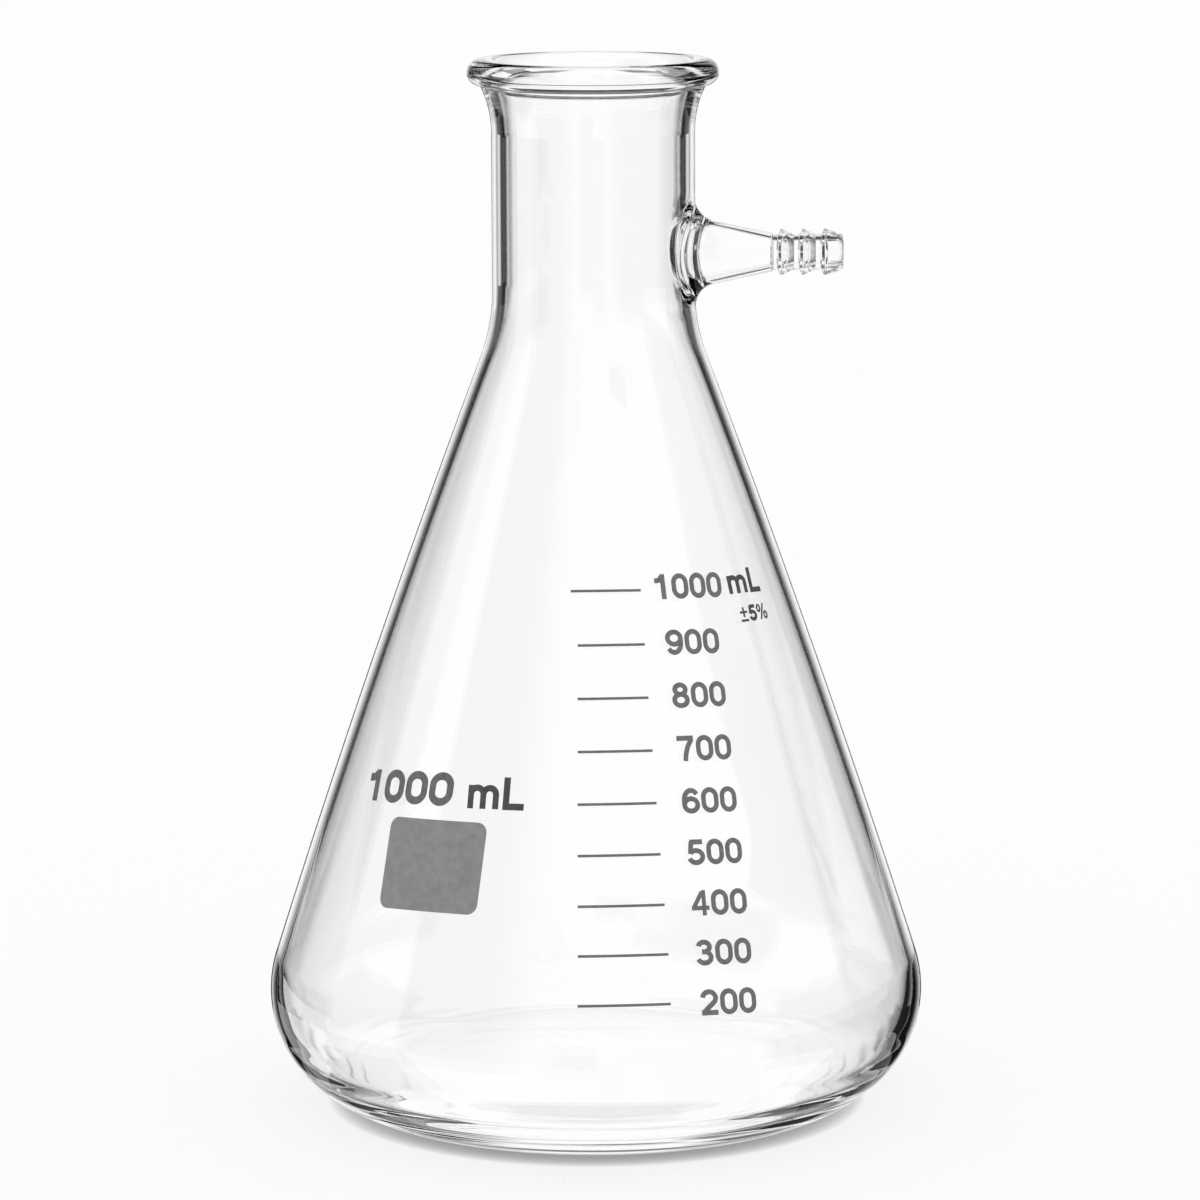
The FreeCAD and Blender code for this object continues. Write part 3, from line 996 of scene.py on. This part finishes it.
@dataclass
class Print:
    """The grey print on the front of the cone, in millimetres and degrees."""

    wall: Wall
    depth: float = 0.02
    proud: float = 0.03
    stroke: float = 0.52
    strip: float = 1.0
    merge: float = 1e-5
    tall: float = 5.0
    stretch: float = 1.04
    tilt: float = -3.0
    patch_size: tuple[float, float] = (23.7, 18.3)
    patch_corner: float = 2.1

    def wrap(self, flat: Flat, place: Place) -> BMesh:
        """Lay a flat mesh on the cone, as a transfer is laid.

        Args:
            flat: The flat mesh.
            place: Where its origin goes.

        Returns:
            The mesh, laid on the cone.
        """
        mesh = flat.mesh
        bmesh.ops.rotate(mesh, verts=mesh.verts,
                         matrix=Matrix.Rotation(math.radians(place.tilt), 3, "Z"))
        low = math.floor(min(v.co.x for v in mesh.verts) / self.strip)
        high = math.ceil(max(v.co.x for v in mesh.verts) / self.strip)
        for number in range(low, high + 1):
            bmesh.ops.bisect_plane(mesh, geom=mesh.verts[:] + mesh.edges[:] + mesh.faces[:],
                                   plane_co=(number * self.strip, 0, 0), plane_no=(1, 0, 0))
        taper = (self.wall.cone(place.height - 1) - self.wall.cone(place.height + 1)) / 2
        upright = math.cos(math.atan(taper))
        droop = 4 * self.wall.cone(place.height) / math.sin(math.atan(taper))
        for vertex in mesh.verts:
            across, up, layer = vertex.co
            height = place.height + (up - across**2 / droop) * upright
            turn = math.radians(place.azimuth) + across / self.wall.cone(height)
            radius = self.wall.cone(height) - self.depth + (self.depth + self.proud) * layer
            vertex.co = (radius * math.sin(turn), -radius * math.cos(turn), height)
        return mesh

    def gather(self, name: str, items: list[tuple[Flat, Place]],
               finish: EnamelFinish) -> bpy.types.Object:
        """Lay several flat meshes on the cone as one piece of enamel.

        Args:
            name: The piece's name.
            items: The flat meshes, each with its place.
            finish: The enamel they are printed in.

        Returns:
            The piece.
        """
        whole = bmesh.new()
        for flat, place in items:
            add(whole, self.wrap(flat, place))
        bmesh.ops.remove_doubles(whole, verts=whole.verts, dist=self.merge)
        bmesh.ops.recalc_face_normals(whole, faces=whole.faces)
        bmesh.ops.scale(whole, verts=whole.verts, vec=(MM, MM, MM))
        return finish_piece(whole, name, finish.build(), smooth=False)

    def lettered(self, legends: list[Legend]) -> list[tuple[Flat, Place]]:
        """Write legends flat.

        Args:
            legends: The legends.

        Returns:
            The flat meshes, each with its place.
        """
        written = []
        for legend in legends:
            flat = Flat()
            flat.write(legend.words, legend.tall, legend.stretch, legend.weight)
            written.append((flat, legend.place))
        return written

    def ruled(self, up: float, start: float, end: float) -> tuple[Flat, Place]:
        """Draw a line of the scale flat.

        Args:
            up: The line's height.
            start: Where it starts, as a length round the cone from the front.
            end: Where it ends.

        Returns:
            The flat mesh and its place.
        """
        flat = Flat()
        flat.panel(end - start, self.stroke)
        return flat, Place(math.degrees((start + end) / 2 / self.wall.cone(up)), up)

    def scale(self) -> list[tuple[Flat, Place]]:
        """Draw the lines of the scale and write their numbers.

        Returns:
            The flat meshes, each with its place.
        """
        lines = [self.ruled(*line) for line in (
            (112.85, -4.7, 9.25), (102.6, -3.35, 10.0), (92.55, -3.4, 10.7),
            (82.6, -3.4, 11.45), (72.75, -3.45, 12.2), (63.15, -3.45, 12.95),
            (53.7, -3.5, 13.7), (44.45, -3.5, 14.4), (35.2, -3.55, 14.8))]
        numbers = [Legend(number, Place(azimuth, up, self.tilt), self.tall, self.stretch)
                   for number, azimuth, up in (
                       ("900", 27.4, 100.05), ("800", 26.8, 90.0), ("700", 26.0, 79.95),
                       ("600", 25.4, 70.1), ("500", 24.9, 60.4), ("400", 24.4, 50.9),
                       ("300", 23.9, 41.6), ("200", 23.6, 32.3))]
        return lines + self.lettered([*numbers, Legend("1000", Place(29.0, 110.6, self.tilt), 5.05)])

    def build(self) -> list[bpy.types.Object]:
        """Print the scale, the units, the large volume and the writing patch.

        Returns:
            The pieces of enamel.
        """
        units = self.lettered([
            Legend("mL", Place(50.5, 110.1, -4.0), 5.05),
            Legend("\u00b15%", Place(51.3, 104.6, -3.0), 3.2, 1.0, 1.15),
            Legend("mL", Place(-21.9, 71.1, 2.5), 6.4, 0.97),
        ])
        volume = self.lettered([Legend("1000", Place(-45.9, 69.9, 6.0), 6.35, 1.27, 1.25)])
        patch = Flat()
        patch.panel(*self.patch_size, self.patch_corner)
        return [
            self.gather("scale_print", self.scale(), EnamelFinish("scale_enamel", 0.145, 0.18)),
            self.gather("unit_print", units, EnamelFinish("unit_enamel", 0.07, 0.25)),
            self.gather("volume_print", volume, EnamelFinish("volume_enamel", 0.135, 0.25)),
            self.gather("writing_patch", [(patch, Place(-35.05, 59.2, 3.5))],
                        EnamelFinish("patch_enamel", 0.245, 0.12, 500.0)),
        ]


Shades = tuple[tuple[float, float], ...]


@dataclass(frozen=True)
class Card:
    """A card of the studio, seen only in the glass: an upright strip of a wide ring.

    Its angles are in degrees, round from the view along +Y towards -X, and up from level.
    Each of its shades belongs to an angle, and between two angles it goes over softly.
    A skin card is seen only where the glass mirrors it from the outside.
    """

    name: str
    low: float
    high: float
    shades: Shades
    distance: float = 4.0
    skin: bool = False

    def paint(self) -> bpy.types.Material:
        """Make the card's grey, which goes from shade to shade round the ring.

        Returns:
            The material.
        """
        start, end = self.shades[0][0], self.shades[-1][0]
        material = bpy.data.materials.new(self.name)
        nodes = Nodes(material)
        place = nodes.make("TexCoord")
        split = nodes.make("SeparateXYZ", {"Vector": place.outputs["Object"]})
        mirror = nodes.make("Math", {0: split.outputs["X"], 1: -1.0})
        mirror.operation = "MULTIPLY"
        turn = nodes.make("Math", {0: mirror.outputs[0], 1: split.outputs["Y"]})
        turn.operation = "ARCTAN2"
        share = nodes.make("MapRange", {"Value": turn.outputs[0], "From Min": math.radians(start),
                                        "From Max": math.radians(end)})
        tone = nodes.make("ValToRGB", {"Fac": share.outputs["Result"]})
        tone.color_ramp.interpolation = "EASE"
        for _ in self.shades[2:]:
            tone.color_ramp.elements.new(0.5)
        for element, (angle, shade) in zip(tone.color_ramp.elements, self.shades):
            element.position = (angle - start) / (end - start)
            element.color = grey(shade)
        shader = nodes.make("Emission", {"Color": tone.outputs["Color"]})
        if self.skin:
            rays = nodes.make("LightPath")
            clear = nodes.make("BsdfTransparent")
            shader = nodes.make("MixShader", {"Fac": rays.outputs[Ray.TRANSMISSION.value],
                                              1: shader.outputs[0], 2: clear.outputs[0]})
        nodes.make("OutputMaterial", {"Surface": shader.outputs[0]})
        return material

    def build(self) -> bpy.types.Object:
        """Make the card and stand it in the studio.

        Returns:
            The card.
        """
        start, end = self.shades[0][0], self.shades[-1][0]
        mesh = bmesh.new()
        bottom, top = (self.distance * math.tan(math.radians(a)) for a in (self.low, self.high))
        ends = [mesh.verts.new((0, self.distance, up)) for up in (bottom, top)]
        edge = mesh.edges.new(ends)
        bmesh.ops.spin(mesh, geom=[*ends, edge], cent=(0, 0, 0), axis=(0, 0, 1),
                       angle=math.radians(end - start), steps=24)
        bmesh.ops.rotate(mesh, verts=mesh.verts,
                         matrix=Matrix.Rotation(math.radians(start), 3, "Z"))
        card = finish_piece(mesh, self.name, self.paint(), smooth=False)
        card.visible_camera = False
        card.visible_diffuse = False
        card.visible_shadow = False
        card.visible_volume_scatter = False
        return card


@dataclass(frozen=True)
class Pair:
    """Two like cards, to the left and the right, whose last shade goes on to ends of their own."""

    name: str
    low: float
    high: float
    shades: Shades
    left_end: float | None = None
    right_end: float | None = None
    distance: float = 4.0
    skin: bool = False

    def cards(self) -> list[Card]:
        """Make the left card, and the right one with its angles turned over.

        Returns:
            The two cards.
        """
        made = []
        for side, hand, end in (("left", 1, self.left_end), ("right", -1, self.right_end)):
            shades = self.shades if end is None else (*self.shades, (end, self.shades[-1][1]))
            turned = tuple(sorted((hand * angle, shade) for angle, shade in shades))
            made.append(Card(f"card_{side}_{self.name}", self.low, self.high, turned,
                             self.distance, self.skin))
        return made


@dataclass
class Studio:
    """A white floor without an edge with a painted contact shadow, even soft light and black cards
    beside each view.
    """

    white: float = 0.985
    through: float = 1.0
    mirrored: float = 0.9
    floor_radius: float = 40.0
    # The grey, reach and end of the floor's painted contact shadow, an ambient occlusion mask in its
    # colour.
    painted_contact_shadow: float = 0.35
    painted_shadow_reach: float = 0.003
    painted_shadow_end: float = 0.95
    evenness: float = 0.85
    dark: float = 0.02
    near_ring: float = 0.6
    over_ring: float = 0.5
    bounces: int = 32
    glossy_bounces: int = 16

    def world(self) -> None:
        """Light everything evenly, a little dimmer where it is mirrored."""
        world = bpy.data.worlds.new("studio_light")
        bpy.context.scene.world = world
        nodes = Nodes(world)
        rays = nodes.make("LightPath")
        shader = nodes.make("Background", {"Color": grey(1.0)})
        for ray, level in ((Ray.GLOSSY, self.mirrored), (Ray.TRANSMISSION, self.through),
                           (Ray.CAMERA, self.white)):
            light = nodes.make("Background", {"Color": grey(1.0), "Strength": level})
            shader = nodes.make("MixShader", {"Fac": rays.outputs[ray.value],
                                              1: shader.outputs[0], 2: light.outputs[0]})
        nodes.make("OutputWorld", {"Surface": shader.outputs[0]})

    def floor(self) -> None:
        """Lay the floor, whose colour darkens to a painted contact shadow where the flask stands close
        over it.
        """
        mesh = bmesh.new()
        bmesh.ops.create_circle(mesh, cap_ends=True, segments=64, radius=self.floor_radius)
        material = bpy.data.materials.new("studio_floor")
        nodes = Nodes(material)
        rays = nodes.make("LightPath")
        # Painted contact shadow: ambient occlusion darkens the floor's diffuse and emitted colour to a
        # grey near the flask.
        painted_contact_shadow = nodes.make("AmbientOcclusion", {"Distance": self.painted_shadow_reach})
        painted_contact_shadow.samples = 16
        tone = nodes.make("ValToRGB", {"Fac": painted_contact_shadow.outputs["AO"]})
        shaded, open_floor = tone.color_ramp.elements
        shaded.color = grey(self.painted_contact_shadow)
        open_floor.position = self.painted_shadow_end
        open_floor.color = grey(self.white)
        paper = nodes.make("BsdfDiffuse", {"Color": tone.outputs["Color"]})
        bright = nodes.make("Emission", {"Color": tone.outputs["Color"]})
        lit = nodes.make("MixShader", {"Fac": self.evenness, 1: paper.outputs[0],
                                       2: bright.outputs[0]})
        unseen = nodes.make("Math", {0: rays.outputs[Ray.TRANSMISSION.value],
                                     1: rays.outputs[Ray.GLOSSY.value]})
        unseen.operation = "MAXIMUM"
        clear = nodes.make("BsdfTransparent")
        mix = nodes.make("MixShader", {"Fac": unseen.outputs[0], 1: lit.outputs[0],
                                       2: clear.outputs[0]})
        nodes.make("OutputMaterial", {"Surface": mix.outputs[0]})
        finish_piece(mesh, "studio_floor", material, smooth=False)

    def cards(self) -> None:
        """Stand the dark cards beside the directions from which the flask is looked at."""
        dark = self.dark
        cone = ((15.0, 1.0), (28.5, dark))
        neck = ((16.0, 1.0), (23.0, 0.35), (27.0, 0.75), (30.5, 0.75), (37.0, dark))
        middle = (*cone, (45.0, dark), (50.0, 0.5))
        skin = ((2.0, dark), (14.0, dark))
        line = ((10.0, 1.0), (22.0, dark))
        foot = ((8.0, 1.0), (13.0, 0.12), (24.0, 0.12), (33.0, 0.3))
        heel = ((12.0, 1.0), (29.0, 0.3))
        near = ((25.0, 0.75), (27.5, 0.3), (30.3, dark), (40.5, dark))
        back = ((155.0, 0.9), (169.0, 0.3), (193.0, 0.3), (207.0, 0.9))
        for pair in (
            Pair("foot", -50.0, -33.5, foot, 63.0, 80.0),
            Pair("heel", -33.5, -25.0, heel, None, 80.0),
            Pair("line", -25.0, -20.0, line, 29.0, 80.0),
            Pair("cone", -20.0, -4.6, cone, None, 80.0),
            Pair("neck", -4.6, -1.8, neck, 73.0, 80.0),
            Pair("middle", -1.8, 8.0, middle, 73.0, 80.0),
            Pair("high", 8.0, 50.0, cone, 73.0, 80.0),
            Pair("skin", -15.0, -2.0, skin, skin=True),
            Pair("near", 0.5, 9.5, near, distance=self.near_ring),
        ):
            for card in pair.cards():
                card.build()
        for card in (
            Card("card_left_side", -13.0, -4.6, ((29.0, dark), (73.0, dark))),
            Card("card_left_outer", -50.0, -21.0, ((63.0, dark), (106.0, dark))),
            Card("card_over", 33.4, 60.0, ((-14.0, dark), (14.0, dark)), self.over_ring),
            Card("card_high", 43.5, 66.0, ((-30.0, dark), (30.0, dark)), self.over_ring),
            Card("card_far_side", -24.0, 40.0, ((107.0, dark), (138.0, dark), (165.0, 0.9))),
            Card("card_back_near", -27.0, -2.0, back),
            Card("card_back_far", -27.0, -2.0, ((-117.0, dark), (-80.0, dark))),
        ):
            card.build()

    def build(self) -> None:
        """Set up the whole studio."""
        self.world()
        self.floor()
        self.cards()
        scene = bpy.context.scene
        scene.view_settings.view_transform = "Standard"
        scene.cycles.max_bounces = self.bounces
        scene.cycles.transmission_bounces = self.bounces
        scene.cycles.glossy_bounces = self.glossy_bounces


@dataclass(frozen=True)
class Viewpoint:
    """The camera, a metre in front of the flask and a little above it."""

    distance: float = 1.0455
    height: float = 0.2893
    aside: float = 0.0011
    pitch: float = 10.04
    roll: float = -0.19
    lens: float = 155.17
    sensor: float = 36.0
    nearest: float = 0.05
    farthest: float = 200.0

    def build(self) -> None:
        """Put the camera in the scene."""
        data = bpy.data.cameras.new("camera")
        data.lens = self.lens
        data.sensor_width = self.sensor
        data.clip_start = self.nearest
        data.clip_end = self.farthest
        camera = bpy.data.objects.new("camera", data)
        bpy.context.scene.collection.objects.link(camera)
        tilt = Matrix.Rotation(math.radians(90 - self.pitch), 4, "X")
        lean = Matrix.Rotation(math.radians(self.roll), 4, "Z")
        place = Matrix.Translation((self.aside, -self.distance, self.height))
        camera.matrix_world = place @ tilt @ lean
        bpy.context.scene.camera = camera


def main() -> None:
    """Build the flask, its print, the studio and the camera, and log the pieces that are built."""
    logging.basicConfig(level=logging.INFO, format="%(message)s")
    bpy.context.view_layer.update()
    wall = Wall()
    glass = Flask(wall, Arm(wall), Patch(), GlassFinish()).build()
    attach(glass, "root")
    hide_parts("flask")
    log.info("built %s", glass.name)
    for piece in Print(wall).build():
        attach(piece, "root")
        log.info("built %s, %d faces", piece.name, len(piece.data.polygons))
    Studio().build()
    Viewpoint().build()


if __name__ == "__main__":
    main()
